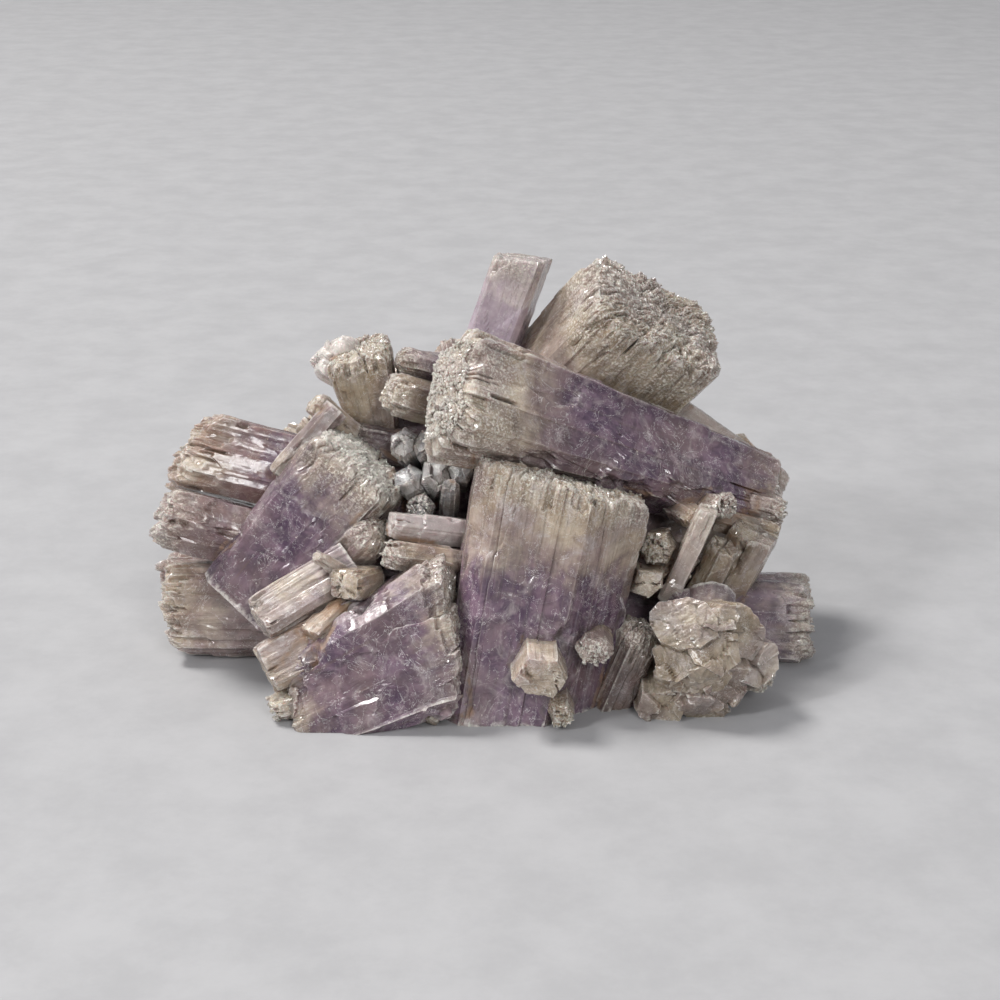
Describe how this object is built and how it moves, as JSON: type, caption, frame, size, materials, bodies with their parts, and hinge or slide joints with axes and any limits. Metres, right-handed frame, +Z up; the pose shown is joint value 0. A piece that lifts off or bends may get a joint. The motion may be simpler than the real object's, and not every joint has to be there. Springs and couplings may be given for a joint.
{
  "type": "aragonite cluster",
  "caption": "Hand-sized mineral specimen of intergrown ribbed prismatic crystals, purple in the middle and tan at the rough ends, that rests on a surface.",
  "frame": {"origin": "on the surface that the cluster rests on, under the middle of its outline", "axes": "+Z up, -Y towards the display side with the upright front crystal, +X to that side's right"},
  "size_m": [0.0799, 0.0504, 0.0475],
  "materials": {
    "purple_crystal": "glassy purple prism faces, fine ribs along the crystal, tan ends",
    "tan_crystal": "olive-tan ribbed prisms with rough, sugary, wavy ends",
    "pale_crystal": "translucent pinkish purple with a tan top",
    "grey_druse": "dull bluish-grey crust of small crystals in a hollow"
  },
  "bodies": {
    "root": {"front_block": "purple_crystal", "front_left_slab": "purple_crystal", "long_crystal": "purple_crystal", "top_block": "tan_crystal", "left_fan": "purple_crystal", "centre_left_crystal": "purple_crystal", "lower_right_rosette": "tan_crystal", "lower_dark_crystal": "purple_crystal", "right_side_crystal": "purple_crystal", "right_prisms": "tan_crystal", "pale_upright_crystal": "pale_crystal", "upper_left_crystals": "tan_crystal", "rear_top_crystal": "purple_crystal", "rear_right_block": "tan_crystal", "rear_left_block": "purple_crystal", "rear_low_right_block": "purple_crystal", "rear_low_left_block": "tan_crystal", "grey_druse": "grey_druse"}
  },
  "joints": []
}
